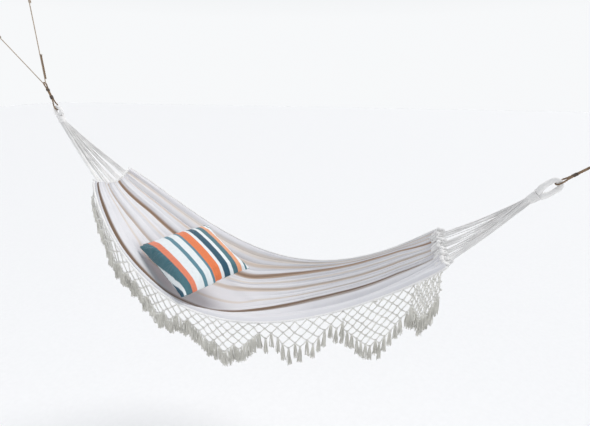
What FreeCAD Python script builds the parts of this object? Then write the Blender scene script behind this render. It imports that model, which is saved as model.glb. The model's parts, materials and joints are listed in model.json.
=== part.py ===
import FreeCAD, Part
import math
import os
import Sketcher

from FreeCAD import Placement, Rotation, Vector

# A cotton hammock with macrame fringes, hung between three screw eyes, with a scatter pillow.
# Millimetres. X runs along the hammock (the right hand end is +X), the front edge faces -Y, Z is up.
# The origin is where the right hand screw eye meets the face of its post.

DRIVING = {
    # screw eyes
    "hook_reach": 32, "big_ring": 20, "big_wire": 4.3, "big_bar": 4, "big_shank": 45,
    "small_ring": 14, "small_wire": 3.2, "small_bar": 3, "small_shank": 40,
    # ropes, as radii, and where the hammock's two eye loops and the bridle's bend are
    "rope_radius": 4.5, "sling_radius": 4, "bridle_radius": 3, "slack": 1.5, "seizing_wall": 2.6,
    "right_eye_x": -218, "right_eye_z": -130, "left_eye_x": -2863, "left_eye_z": 152,
    "knot_x": -2911, "knot_z": 278,
    "upper_hook_x": -2905, "upper_hook_z": 762, "outer_hook_x": -3202, "outer_hook_z": 578,
    # eye loops, neck wraps and suspension cords
    "right_eye_length": 100, "right_eye_width": 48, "right_eye_radius": 12, "right_neck_width": 26,
    "left_eye_length": 48, "left_eye_width": 36, "left_eye_radius": 9.5, "left_neck_width": 21,
    "right_wrap_length": 46, "right_wrap_mouth": 26, "right_wrap_tail": 20, "right_neck_angle": 40,
    "left_wrap_length": 36, "left_wrap_mouth": 21, "left_wrap_tail": 18, "left_neck_angle": 74,
    "wrap_gap": 4.5, "cords_neck_radius": 4.5, "cords_end_radius": 7, "cords_gap": 3,
    # the bed: a catenary trough
    "bed_left_x": -2552, "bed_right_x": -686, "bed_low_x": -1496, "bed_low_z": -842,
    "sag_radius": 1000, "left_half": 165, "right_half": 240, "middle_half": 392, "width_swell": 0.7,
    "width_skew": 170, "height_skew": 72, "end_depth": 50, "middle_depth": 150,
    "cloth_thick": 4, "band_thick": 13, "band_width": 16, "hem_radius": 6, "hem_gap": 3,
    # fringe
    "net_thick": 4, "net_gap": 14,
    "tassel_top": 4, "tassel_foot": 8, "tassel_drop": 95,
    # pillow
    "pillow_side": 460, "pillow_height": 110, "pillow_corner": 16, "cover_wall": 3,
    "pillow_x": -1983, "pillow_y": -140, "pillow_z": -643,
    "pillow_turn": -30, "pillow_dip": 16.4, "pillow_lean": 11,
    "zip_length": 400, "zip_width": 9, "zip_thick": 2,
}

# The fringe flaps hang unevenly: where each begins, as a share of the hem's length from the left,
# then how deep its net is at its sides and at its point.
FLAPS = (
    (0.012, 70, 150), (0.23, 70, 145), (0.41, 75, 205),
    (0.575, 75, 175), (0.765, 110, 270), (0.925, 130, 215),
)
FRINGE_END = 0.988
for number, (_, flap_side, flap_point) in enumerate(FLAPS, start=1):
    DRIVING[f"flap_{number}_side"] = flap_side
    DRIVING[f"flap_{number}_point"] = flap_point
TASSELS = 7
COLLAR = 3
BUNDLES = 5

doc = FreeCAD.newDocument("hammock")
dims = doc.addObject("Spreadsheet::Sheet", "dims")
for row, (alias, value) in enumerate(DRIVING.items(), start=1):
    dims.set(f"A{row}", alias)
    dims.set(f"B{row}", str(value))
    dims.setAlias(f"B{row}", alias)
doc.recompute()

parts = []


def size(alias):
    return float(dims.get(alias))


def keep(obj, label):
    """Names a finished sub-part and puts it on the list to be written."""
    obj.Label = label
    parts.append(obj)
    return obj


def bind(obj, **expressions):
    """Binds properties of an object to expressions over the sheet."""
    for prop, expression in expressions.items():
        obj.setExpression(prop, expression)
    return obj


def along(start, end):
    """A placement at start whose Z axis points at end."""
    return Placement(start, Rotation(Vector(0, 0, 1), end - start))


# ---------------------------------------------------------------- cords and ropes

def route_wire(name, points, radii):
    """Straight runs joined by tangent arcs. radii gives the tight corners their radius by index."""
    edges = []
    leave = points[0]
    bends = []
    for i in range(1, len(points) - 1):
        before = points[i] - points[i - 1]
        after = points[i + 1] - points[i]
        half = before.getAngle(after) / 2
        radius = radii.get(i, 0.45 * min(before.Length, after.Length) / math.tan(half))
        bends.append(radius)
        cut = radius * math.tan(half)
        inward = before.normalize()
        onward = after.normalize()
        start = points[i] - inward * cut
        end = points[i] + onward * cut
        toward = (onward - inward).normalize()
        middle = points[i] + toward * (radius / math.cos(half) - radius)
        if (start - leave).Length > 1e-4:
            edges.append(Part.LineSegment(leave, start).toShape())
        edges.append(Part.Arc(start, middle, end).toShape())
        leave = end
    edges.append(Part.LineSegment(leave, points[-1]).toShape())
    if bends:
        print(name, "bend radii", [round(r, 1) for r in bends])
    return Part.Wire(edges)


def tube(label, points, radius_alias, radii=None):
    """A round tube of the sheet's radius along a route."""
    path = doc.addObject("Part::Feature", label + "_path")
    path.Shape = route_wire(label, points, radii or {})
    ring = doc.addObject("Part::Circle", label + "_ring")
    bind(ring, Radius=f"dims.{radius_alias}")
    ring.Placement = along(points[0], points[1])
    sweep = doc.addObject("Part::Sweep", label + "_sweep")
    sweep.Sections = [ring]
    sweep.Spine = (path, [f"Edge{i + 1}" for i in range(len(path.Shape.Edges))])
    sweep.Solid = True
    doc.recompute()
    full = math.pi * size(radius_alias) ** 2 * path.Shape.Length
    print(label, "length", round(path.Shape.Length, 1), "volume ratio", round(sweep.Shape.Volume / full, 3))
    return keep(sweep, label)


class Line:
    """A frame on a taut rope: s runs from start towards end, and the side axis is Y."""

    def __init__(self, start, end):
        self.start = start
        self.reach = (end - start).Length
        self.way = (end - start).normalize()

    def at(self, s, side=0.0):
        return self.start + self.way * s + Vector(0, side, 0)


def seizing(label, line, middle, length, rope_alias):
    """A whipping of twine round two strands that lie side by side, as a short sleeve."""
    clear = 0.3
    bore = f"2 * dims.{rope_alias} + {clear}"
    outer = doc.addObject("Part::Cylinder", label + "_outer")
    inner = doc.addObject("Part::Cylinder", label + "_inner")
    for cylinder, radius in ((outer, f"{bore} + dims.seizing_wall"), (inner, bore)):
        bind(cylinder, Radius=radius)
        cylinder.Height = length
        cylinder.Placement = along(line.at(middle - length / 2), line.at(middle))
    sleeve = doc.addObject("Part::Cut", label + "_cut")
    sleeve.Base = outer
    sleeve.Tool = inner
    return keep(sleeve, label)


def bight(line, s, outward, side, strand, radius, neck):
    """The corners of a loop round something at s: from the strand on one side, round it and back.
    outward is +1 where the loop's far end is at greater s, or -1; neck is where the strands meet."""
    together = s - outward * neck
    apart = s - outward * 0.9 * radius
    tip = s + outward * radius
    return [line.at(together, side * strand), line.at(apart, side * radius), line.at(tip, side * radius),
            line.at(tip, -side * radius), line.at(apart, -side * radius), line.at(together, -side * strand)]


def doubled_rope(label, line, rope_alias, low_hold, high_hold, ends_at, necks):
    """A rope that goes round the eye loop at s = 0 and round its anchor at s = reach, its two
    ends butted inside a seizing centred at ends_at."""
    rope = size(rope_alias)
    strand = rope + 0.2
    low = low_hold + size("slack") + rope
    high = high_hold + size("slack") + rope
    half_gap = 1.4 * rope
    points = [line.at(ends_at - half_gap, -strand)]
    points += bight(line, 0, -1, -1, strand, low, necks[0])
    points += bight(line, line.reach, 1, 1, strand, high, necks[1])
    points.append(line.at(ends_at + half_gap, -strand))
    tight = {3: low * 0.98, 4: low * 0.98, 9: high * 0.98, 10: high * 0.98}
    return tube(label, points, rope_alias, tight)


# ---------------------------------------------------------------- screw eyes

def screw_eye(label, centre, away, kind):
    """A ring of bent wire with a collar and a pointed shank, screwed in along away."""
    ring = doc.addObject("Part::Torus", label + "_ring")
    bind(ring, Radius1=f"dims.{kind}_ring", Radius2=f"dims.{kind}_wire")
    ring.Placement = Placement(centre, Rotation(Vector(0, 0, 1), Vector(0, 1, 0)))
    bar = size(kind + "_bar")
    root = size(kind + "_ring")
    face = size("hook_reach")
    tip = face + size(kind + "_shank")
    rod = doc.addObject("Part::Cylinder", label + "_rod")
    bind(rod, Radius=f"dims.{kind}_bar")
    rod.Height = tip - 2 * bar - root
    collar = doc.addObject("Part::Cylinder", label + "_collar")
    bind(collar, Radius=f"2 * dims.{kind}_bar")
    collar.Height = COLLAR
    point = doc.addObject("Part::Cone", label + "_point")
    bind(point, Radius1=f"dims.{kind}_bar", Height=f"2 * dims.{kind}_bar")
    point.Radius2 = 0
    for piece, start in ((rod, root), (collar, face - COLLAR), (point, tip - 2 * bar)):
        piece.Placement = along(centre + away * start, centre + away * tip)
    fused = doc.addObject("Part::MultiFuse", label + "_fuse")
    fused.Shapes = [ring, rod, collar, point]
    return keep(fused, label)


def _coincident(first, second):
    return Sketcher.Constraint("Coincident", first, 2, second, 1)


# ---------------------------------------------------------------- the bed's shape

def span(x):
    """-1 at the bed's left end, 1 at its right end."""
    middle = (size("bed_left_x") + size("bed_right_x")) / 2
    return (x - middle) / ((size("bed_right_x") - size("bed_left_x")) / 2)


def hem_height(x):
    t = span(x)
    sag = size("sag_radius")
    rise = sag * (math.cosh((x - size("bed_low_x")) / sag) - 1)
    return size("bed_low_z") + rise + size("height_skew") * t * (1 - t * t)


def half_width(x):
    t = span(x)
    end = size("left_half") if t < 0 else size("right_half")
    swell = max(0.0, 1 - t * t) ** size("width_swell")
    return end + (size("middle_half") - end) * swell - size("width_skew") * t * (1 - t * t)


def cloth_half(x):
    """Half the cloth's width: inside the hem cord, square to the hem's own slant."""
    step = 12
    slant = (half_width(x + step) - half_width(x - step)) / (2 * step)
    return half_width(x) - (size("hem_radius") + size("hem_gap")) * math.hypot(1, slant)


def trough_depth(x):
    t = span(x)
    return size("end_depth") + (size("middle_depth") - size("end_depth")) * math.sqrt(max(0.0, 1 - t * t))


def hem_point(x, side):
    return Vector(x, side * half_width(x), hem_height(x))


def trough_wire(x, thick, shape_x=None, shift=0.0):
    """A closed outline across the trough: a sagging strip of the given thickness, in the plane at x."""
    at = x if shape_x is None else shape_x
    half = cloth_half(at)
    depth = trough_depth(at)
    top = hem_height(at) + shift
    steps = 8
    curves = []
    for lift in (thick / 2, -thick / 2):
        points = []
        for i in range(steps + 1):
            y = -half + 2 * half * i / steps
            points.append(Vector(x, y, top + lift - depth * (1 - (y / half) ** 2)))
        curve = Part.BSplineCurve()
        curve.interpolate(points)
        curves.append((curve.toShape(), points))
    (upper, up), (lower, low) = curves
    return Part.Wire([upper, Part.makeLine(up[-1], low[-1]), lower, Part.makeLine(low[0], up[0])])


def stations(count):
    """x of evenly spread places along the bed, closer together at its ends."""
    left = size("bed_left_x")
    right = size("bed_right_x")
    return [(left + right) / 2 - (right - left) / 2 * math.cos(math.pi * i / (count - 1)) for i in range(count)]


def bed_fabric():
    bed = doc.addObject("Part::Feature", "bed_fabric_shape")
    wires = [trough_wire(x, size("cloth_thick")) for x in stations(19)]
    bed.Shape = Part.makeLoft(wires, True, False)
    return keep(bed, "bed_fabric")


def end_band(label, x, outward):
    """The knotted band that gathers the cloth's end, just past its last threads."""
    band = doc.addObject("Part::Feature", label + "_shape")
    slope = (hem_height(x) - hem_height(x - outward * 10)) / 10
    near = x + outward * 0.5
    far = near + outward * size("band_width")
    thick = size("band_thick")
    wires = [trough_wire(near, thick, x), trough_wire(far, thick, x, slope * size("band_width"))]
    band.Shape = Part.makeLoft(wires, True, True)
    return keep(band, label)


def hem(label, side):
    """The corded edge of the cloth, swept along the bed's long side."""
    points = [hem_point(x, side) for x in stations(19)]
    return tube(label, points, "hem_radius")


# ---------------------------------------------------------------- eye loops and suspension cords

def eye_loop(side, pivot, inward):
    """A U of wrapped cords. pivot is the middle of its far end, inward points to the neck."""
    radius = size(side + "_eye_width") / 2
    base = size(side + "_eye_length")
    neck = size(side + "_neck_width") / 2
    across = inward.cross(Vector(0, 1, 0))
    waist = 0.62 * base
    corners = ((base, neck), (waist, radius), (0, radius), (0, -radius), (waist, -radius), (base, -neck))
    points = [pivot + inward * s + across * sideways for s, sideways in corners]
    return tube(side + "_eye", points, side + "_eye_radius", {2: radius * 0.97, 3: radius * 0.97})


def neck_wrap(side, pivot, inward):
    """The tapered whipping that gathers the suspension cords into the eye loop."""
    wrap = doc.addObject("Part::Cone", side + "_wrap_cone")
    bind(wrap, Radius1=f"dims.{side}_wrap_mouth", Radius2=f"dims.{side}_wrap_tail",
         Height=f"dims.{side}_wrap_length")
    start = pivot + inward * (size(side + "_eye_length") + size("wrap_gap"))
    wrap.Placement = along(start, start + inward)
    return keep(wrap, side + "_wrap")


def cord_bundles(side, pivot, inward, x, outward):
    """The suspension cords, in bundles that fan out from the neck to the bed's end band."""
    to_tail = size(side + "_eye_length") + size("wrap_gap") + size(side + "_wrap_length") + size("cords_gap")
    neck = pivot + inward * to_tail
    up = inward.cross(Vector(0, 1, 0))
    gap = 1.55 * size("cords_neck_radius")
    band_x = x + outward * (size("band_width") + size("cords_gap") + 3)
    slope = (hem_height(x) - hem_height(x - outward * 10)) / 10
    for k in range(BUNDLES):
        place = k - (BUNDLES - 1) / 2
        row = 0 if abs(place) == 2 else (1 if abs(place) == 1 else -1)
        start = neck + Vector(0, place * gap, 0) + up * (row * gap)
        half = half_width(x) - size("hem_radius")
        y = place / 2 * half * 0.9
        z = hem_height(x) - trough_depth(x) * (1 - (y / half) ** 2) + slope * (size("band_width") + 6)
        end = Vector(band_x, y, z)
        bundle = doc.addObject("Part::Cone", f"{side}_cords_{k + 1}_cone")
        bind(bundle, Radius1="dims.cords_neck_radius", Radius2="dims.cords_end_radius")
        bundle.Height = (end - start).Length
        bundle.Placement = along(start, end)
        keep(bundle, f"{side}_cords_{k + 1}")


# ---------------------------------------------------------------- fringe

def hem_share(share, side):
    """The point of the hem at a share of its own length, from the left."""
    steps = 200
    reach = size("bed_right_x") - size("bed_left_x")
    points = [hem_point(size("bed_left_x") + reach * i / steps, side) for i in range(steps + 1)]
    goal = share * sum((b - a).Length for a, b in zip(points, points[1:]))
    for a, b in zip(points, points[1:]):
        step = (b - a).Length
        if goal <= step:
            return a + (b - a) * (goal / step)
        goal -= step
    return points[-1]


def fringe_chord(index, side):
    """The two ends of a fringe flap's top edge, clear below and outside the hem that it is knotted to."""
    ends = [flap[0] for flap in FLAPS] + [FRINGE_END]
    shares = [ends[index] + (ends[index + 1] - ends[index]) * i / 8 for i in range(9)]
    points = [hem_share(share, side) for share in shares]
    first, last = points[0], points[-1]
    across = (last - first).cross(Vector(0, side, 0)).normalize()
    below = across if across.z < 0 else -across
    dip = max((point - first).dot(below) for point in points)
    level = Vector(last.x - first.x, last.y - first.y, 0).normalize()
    outside = Vector(-level.y, level.x, 0) * side
    bulge = max((point - first).dot(outside) for point in points)
    shift = below * (dip + size("hem_radius") + 3) + outside * bulge
    return first + shift, last + shift


def net_panel(label, number, first, last):
    """A pointed flap of knotted net, as a thin plate in the upright plane through its top edge."""
    level = Vector(last.x - first.x, last.y - first.y, 0)
    length = level.Length - size("net_gap")
    rise = (last.z - first.z) * length / level.Length
    body = doc.addObject("PartDesign::Body", label + "_body")
    plane = next(f for f in body.Origin.OriginFeatures if f.Role == "XZ_Plane")
    sketch = body.newObject("Sketcher::SketchObject", label + "_sketch")
    sketch.AttachmentSupport = [(plane, "")]
    sketch.MapMode = "FlatFace"
    side = size(f"flap_{number}_side")
    point = size(f"flap_{number}_point")
    corners = [(0, 0), (0, -side), (length / 2, rise / 2 - point), (length, rise - side), (length, rise)]
    for i, corner in enumerate(corners):
        follow = corners[(i + 1) % len(corners)]
        sketch.addGeometry(Part.LineSegment(Vector(*corner, 0), Vector(*follow, 0)))
    for i in range(len(corners)):
        sketch.addConstraint(_coincident(i, (i + 1) % len(corners)))
    sketch.addConstraint(Sketcher.Constraint("Coincident", 0, 1, -1, 1))
    sketch.addConstraint(Sketcher.Constraint("Vertical", 0))
    sketch.addConstraint(Sketcher.Constraint("Vertical", 3))
    sketch.addConstraint(Sketcher.Constraint("Equal", 0, 3))
    drop = sketch.addConstraint(Sketcher.Constraint("DistanceY", 0, 2, 0, 1, side))
    sketch.setExpression(f"Constraints[{drop}]", f"dims.flap_{number}_side")
    sketch.addConstraint(Sketcher.Constraint("DistanceX", -1, 1, 3, 2, length))
    sketch.addConstraint(Sketcher.Constraint("DistanceY", -1, 1, 3, 2, rise))
    sketch.addConstraint(Sketcher.Constraint("DistanceX", -1, 1, 1, 2, length / 2))
    sketch.addConstraint(Sketcher.Constraint("DistanceY", 1, 2, -1, 1, point - rise / 2))
    pad = body.newObject("PartDesign::Pad", label + "_pad")
    pad.Profile = sketch
    bind(pad, Length="dims.net_thick")
    way = level.normalize()
    turn = math.degrees(math.atan2(way.y, way.x))
    start = first + way * (size("net_gap") / 2)
    thick = Vector(-way.y, way.x, 0) * (size("net_thick") / 2)
    body.Placement = Placement(start + thick, Rotation(Vector(0, 0, 1), turn))
    keep(body, label)
    return start, way, length, rise


def tassel_row(label, number, start, way, length, rise):
    """Yarn tassels under a net panel, each a separate solid, hung from its pointed lower edge."""
    row = doc.addObject("Part::Compound", label + "_row")
    tassels = []
    side = size(f"flap_{number}_side")
    point = size(f"flap_{number}_point")
    foot = size("tassel_foot")
    for i in range(TASSELS):
        share = (i + 0.5) / TASSELS
        blend = 1 - abs(2 * share - 1)
        steep = 2 * (point - side + abs(rise) / 2) / length
        hang = (rise - side) if share > 0.5 else -side
        edge = hang + ((rise / 2 - point) - hang) * blend
        top = start + way * (share * length) + Vector(0, 0, edge - steep * foot - 1)
        tassel = doc.addObject("Part::Cone", f"{label}_{i + 1}")
        bind(tassel, Radius1="dims.tassel_foot", Radius2="dims.tassel_top", Height="dims.tassel_drop")
        tassel.Placement = Placement(top - Vector(0, 0, size("tassel_drop")), Rotation())
        tassels.append(tassel)
    row.Links = tassels
    return keep(row, label)


# ---------------------------------------------------------------- pillow

def lens(name, inset_alias_times):
    """A square cushion form: a square block met by two shallow domes."""
    inset = f"{inset_alias_times} * dims.cover_wall"
    side = f"(dims.pillow_side - 2 * {inset})"
    half = f"(dims.pillow_height / 2 - {inset})"
    corner = f"(dims.pillow_corner / 2 - {inset})"
    reach = f"({side} / sqrt(2))"
    dome = f"(({reach} ^ 2 + ({half} - {corner}) ^ 2) / (2 * ({half} - {corner})))"
    block = doc.addObject("Part::Box", name + "_block")
    bind(block, Length=side, Width=side, Height=f"2 * {half}")
    for axis, reach_back in (("x", f"{side} / 2"), ("y", f"{side} / 2"), ("z", half)):
        block.setExpression(f".Placement.Base.{axis}", f"-({reach_back})")
    domes = []
    for part_name, sign in (("_upper", "-"), ("_lower", "")):
        ball = doc.addObject("Part::Sphere", name + part_name)
        bind(ball, Radius=dome)
        ball.setExpression(".Placement.Base.z", f"{sign}({dome} - {half})")
        domes.append(ball)
    form = doc.addObject("Part::MultiCommon", name + "_form")
    form.Shapes = [block] + domes
    return form


def pillow_place():
    turn = Rotation(Vector(0, 0, 1), size("pillow_turn"))
    dip = Rotation(Vector(0, 1, 0), size("pillow_dip"))
    lean = Rotation(Vector(1, 0, 0), size("pillow_lean"))
    return Placement(Vector(size("pillow_x"), size("pillow_y"), size("pillow_z")), dip * lean * turn)


def pillow():
    place = pillow_place()
    cover = doc.addObject("Part::Cut", "pillow_cover_cut")
    cover.Base = lens("pillow_outer", 0)
    cover.Tool = lens("pillow_inner", 1)
    cover.Placement = place
    keep(cover, "pillow_cover")
    insert = lens("pillow_insert", 1.2)
    insert.Placement = place
    keep(insert, "pillow_insert")
    edge = size("pillow_side") / 2
    tape = doc.addObject("Part::Box", "pillow_zip_tape")
    bind(tape, Length="dims.zip_thick", Width="dims.zip_length", Height="dims.zip_width")
    spot = Vector(-edge - size("zip_thick"), -size("zip_length") / 2, -size("zip_width") / 2)
    tape.Placement = place * Placement(spot, Rotation())
    keep(tape, "pillow_zip")
    slider = doc.addObject("Part::Box", "zip_slider_block")
    slider.Length = 4
    slider.Width = 12
    slider.Height = 7
    gap = 0.3
    spot = Vector(-edge - size("zip_thick") - gap - slider.Length.Value, -size("zip_length") / 2 + 10,
                  -slider.Height.Value / 2)
    slider.Placement = place * Placement(spot, Rotation())
    keep(slider, "zip_slider")


# ---------------------------------------------------------------- the whole hammock

right_pivot = Vector(size("right_eye_x"), 0, size("right_eye_z"))
left_pivot = Vector(size("left_eye_x"), 0, size("left_eye_z"))
knot = Vector(size("knot_x"), 0, size("knot_z"))
right_ring = Vector(-size("hook_reach"), 0, 0)
upper_ring = Vector(size("upper_hook_x"), 0, size("upper_hook_z"))
outer_ring = Vector(size("outer_hook_x"), 0, size("outer_hook_z"))


def ring_grip(centre, pull_from, kind):
    """Where a rope that comes from pull_from bears on a ring: the middle of its wire."""
    return centre + (pull_from - centre).normalize() * size(kind + "_ring")


def neck_way(side, toward):
    """The way from an eye loop to its neck, as steep below the level as the sheet says."""
    angle = math.radians(size(side + "_neck_angle"))
    return Vector(toward * math.cos(angle), 0, -math.sin(angle))


def anchors():
    screw_eye("right_hook", right_ring, Vector(1, 0, 0), "big")
    screw_eye("upper_hook", upper_ring, Vector(0, 0, 1), "small")
    screw_eye("outer_hook", outer_ring, Vector(-1, 0, 0), "small")


def bridle():
    """One thin cord from the upper screw eye, round the sling's loop at the knot, to the outer one."""
    cord = size("bridle_radius")
    strand = cord + 0.2
    hold = size("small_wire") + size("slack") + cord
    bend = size("sling_radius") + size("slack") + cord
    upper = Line(knot, ring_grip(upper_ring, knot, "small"))
    outer = Line(knot, ring_grip(outer_ring, knot, "small"))
    fork = upper.way.getAngle(outer.way)
    half_turn = (math.pi - fork) / 4
    foot = (upper.way - outer.way).normalize() * (bend * math.tan(half_turn) * 1.02)
    neck = 32
    tail = 56
    points = [upper.at(upper.reach - tail, strand)]
    points += bight(upper, upper.reach, 1, -1, strand, hold, neck)[::-1]
    points += [knot + foot, knot - foot]
    points += bight(outer, outer.reach, 1, -1, strand, hold, neck)
    points.append(outer.at(outer.reach - tail, strand))
    tight = {3: hold * 0.98, 4: hold * 0.98, 7: bend, 8: bend, 11: hold * 0.98, 12: hold * 0.98}
    tube("bridle_cord", points, "bridle_radius", tight)
    seizing("upper_seizing", upper, upper.reach - tail + 8, 20, "bridle_radius")
    seizing("outer_seizing", outer, outer.reach - tail + 8, 20, "bridle_radius")
    leg = Line(points[7], points[6])
    beside = Vector(cord + size("sling_radius") + 0.6, 0, 0)
    tail_rope = doc.addObject("Part::Cylinder", "rope_tail_rod")
    bind(tail_rope, Radius="dims.sling_radius")
    tail_rope.Height = 120
    tail_rope.Placement = along(leg.at(26) + beside, leg.at(27) + beside)
    keep(tail_rope, "rope_tail")


def hanging_ropes():
    right = Line(right_pivot, ring_grip(right_ring, right_pivot, "big"))
    right_hold = size("right_eye_radius")
    doubled_rope("right_rope", right, "rope_radius", right_hold, size("big_wire"), right.reach - 51, (40, 28))
    seizing("right_inner_seizing", right, 64, 22, "rope_radius")
    seizing("right_outer_seizing", right, right.reach - 51, 26, "rope_radius")
    left = Line(left_pivot, knot)
    left_hold = size("left_eye_radius")
    doubled_rope("left_rope", left, "sling_radius", left_hold, size("bridle_radius"), 57, (34, 20))
    seizing("left_lower_seizing", left, 57, 22, "sling_radius")
    seizing("left_upper_seizing", left, left.reach - 34, 14, "sling_radius")


def bed():
    bed_fabric()
    end_band("left_end_band", size("bed_left_x"), -1)
    end_band("right_end_band", size("bed_right_x"), 1)
    hem("front_hem", -1)
    hem("rear_hem", 1)
    for side, pivot, outward in (("right", right_pivot, 1), ("left", left_pivot, -1)):
        inward = neck_way(side, -outward)
        eye_loop(side, pivot, inward)
        neck_wrap(side, pivot, inward)
        cord_bundles(side, pivot, inward, size(f"bed_{side}_x"), outward)


def fringes():
    for name, side in (("front", -1), ("rear", 1)):
        for number in range(1, len(FLAPS) + 1):
            first, last = fringe_chord(number - 1, side)
            print(name, number, "top edge", [round(c, 1) for c in (*first, *last)])
            hung = net_panel(f"{name}_net_{number}", number, first, last)
            tassel_row(f"{name}_tassels_{number}", number, *hung)


def check_and_write():
    doc.recompute()
    for obj in doc.Objects:
        if "Invalid" in obj.State or "Error" in obj.State:
            raise RuntimeError(f"{obj.Name} failed: {obj.State}")
    os.makedirs("parts", exist_ok=True)
    for obj in parts:
        shape = obj.Shape
        if shape.isNull() or not shape.isValid() or shape.Volume <= 0:
            raise RuntimeError(f"{obj.Label} has no sound shape")
        shape.exportStep(f"parts/{obj.Label}.step")
        space = shape.BoundBox
        print(f"{obj.Label}: {len(shape.Solids)} solids, {shape.Volume / 1000:.1f} cm3,",
              f"x {space.XMin:.0f}..{space.XMax:.0f} y {space.YMin:.0f}..{space.YMax:.0f}",
              f"z {space.ZMin:.0f}..{space.ZMax:.0f}")


anchors()
bridle()
hanging_ropes()
bed()
fringes()
pillow()
check_and_write()
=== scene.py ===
import json
import math
import random

import bpy
import numpy as np
from mathutils import Matrix, Vector


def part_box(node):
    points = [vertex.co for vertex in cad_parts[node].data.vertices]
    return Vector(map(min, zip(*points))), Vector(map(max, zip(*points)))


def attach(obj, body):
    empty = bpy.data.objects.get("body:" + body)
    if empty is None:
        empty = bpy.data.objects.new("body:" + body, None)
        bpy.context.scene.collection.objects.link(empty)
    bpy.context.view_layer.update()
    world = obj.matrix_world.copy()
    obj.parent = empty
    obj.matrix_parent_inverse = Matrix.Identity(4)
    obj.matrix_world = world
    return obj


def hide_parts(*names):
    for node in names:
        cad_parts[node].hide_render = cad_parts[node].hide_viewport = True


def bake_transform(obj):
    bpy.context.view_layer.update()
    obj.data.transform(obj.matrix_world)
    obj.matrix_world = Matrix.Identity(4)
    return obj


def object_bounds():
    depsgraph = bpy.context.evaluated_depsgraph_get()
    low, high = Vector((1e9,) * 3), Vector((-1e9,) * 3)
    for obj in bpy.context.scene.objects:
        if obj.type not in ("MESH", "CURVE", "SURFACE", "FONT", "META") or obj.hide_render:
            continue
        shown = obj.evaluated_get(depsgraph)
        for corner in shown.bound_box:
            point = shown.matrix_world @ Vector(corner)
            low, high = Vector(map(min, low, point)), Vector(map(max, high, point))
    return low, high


# A cotton hammock with net fringes between three screw eyes, and a striped scatter pillow in it.
# Metres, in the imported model's frame: X along the hammock, the front edge faces -Y, Z is up.

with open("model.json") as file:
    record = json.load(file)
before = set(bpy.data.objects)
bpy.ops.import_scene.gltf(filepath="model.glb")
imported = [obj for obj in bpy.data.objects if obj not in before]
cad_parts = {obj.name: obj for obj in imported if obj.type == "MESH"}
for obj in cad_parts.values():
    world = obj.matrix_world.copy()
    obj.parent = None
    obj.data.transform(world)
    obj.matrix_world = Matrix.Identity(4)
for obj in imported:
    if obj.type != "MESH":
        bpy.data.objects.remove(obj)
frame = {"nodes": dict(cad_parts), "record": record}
CAD_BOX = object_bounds()
UP = Vector((0, 0, 1))
ACROSS = Vector((0, 1, 0))
random.seed(7)


# ---------------------------------------------------------------- materials

BLACK = (0.0, 0.0, 0.0)
WHITE = (1.0, 1.0, 1.0)


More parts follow.
